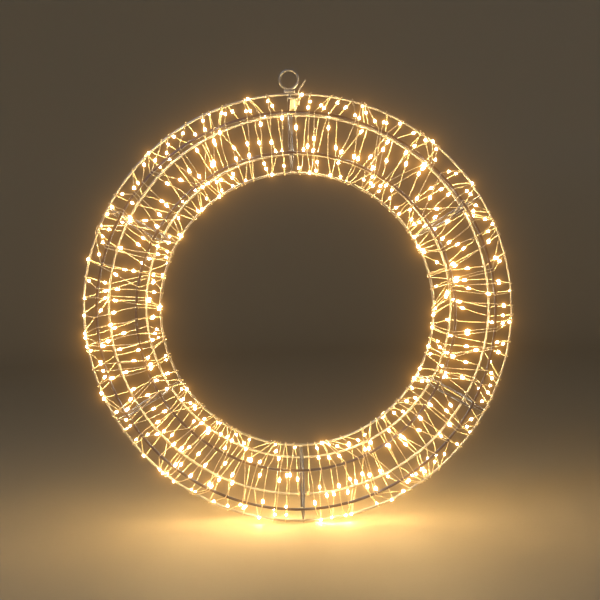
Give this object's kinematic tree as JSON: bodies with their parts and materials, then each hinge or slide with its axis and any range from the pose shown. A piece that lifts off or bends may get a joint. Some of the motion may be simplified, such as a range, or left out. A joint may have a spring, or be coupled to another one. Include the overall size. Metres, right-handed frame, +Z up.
{
  "type": "lit wreath frame",
  "caption": "Welded wire wreath frame: round rings on hexagonal braces with a hanging eye, wound all round with wire strings of warm drop lights.",
  "frame": {"origin": "centre of the hanging eye", "axes": "+Z up, -Y out of the front towards the viewer, +X to the viewer's right; the wreath lies in the XZ plane"},
  "size_m": [0.4024, 0.0693, 0.422],
  "materials": {
    "frame_wire": "satin plated steel wire",
    "weld_metal": "rough weld metal",
    "led_wire": "thin enamelled twin wire, champagne",
    "led_resin": "clear resin, lit warm white",
    "led_chip": "phosphor chip, lit",
    "sleeve": "clear shrunk tube",
    "splice": "moulded, off-white",
    "tie": "natural nylon",
    "end_seal": "cured clear resin"
  },
  "bodies": {
    "root": {"ring_outermost": "frame_wire", "ring_front_outer": "frame_wire", "ring_front_inner": "frame_wire", "ring_innermost": "frame_wire", "ring_back_inner": "frame_wire", "ring_back_outer": "frame_wire", "brace_top": "frame_wire", "spot_welds_top": "weld_metal", "brace_upper_right": "frame_wire", "spot_welds_upper_right": "weld_metal", "brace_lower_right": "frame_wire", "spot_welds_lower_right": "weld_metal", "brace_bottom": "frame_wire", "spot_welds_bottom": "weld_metal", "brace_lower_left": "frame_wire", "spot_welds_lower_left": "weld_metal", "brace_upper_left": "frame_wire", "spot_welds_upper_left": "weld_metal", "hanging_eye": "frame_wire", "eye_weld": "weld_metal", "splice_sleeve": "sleeve", "splice_block": "splice", "cable_tie": "tie", "led_wire_right": "led_wire", "led_drops_right_1": "led_resin", "led_chips_right_1": "led_chip", "led_drops_right_2": "led_resin", "led_chips_right_2": "led_chip", "led_drops_right_3": "led_resin", "led_chips_right_3": "led_chip", "led_wire_left": "led_wire", "led_drops_left_1": "led_resin", "led_chips_left_1": "led_chip", "led_drops_left_2": "led_resin", "led_chips_left_2": "led_chip", "led_drops_left_3": "led_resin", "led_chips_left_3": "led_chip", "string_end_seals": "end_seal"}
  },
  "joints": []
}
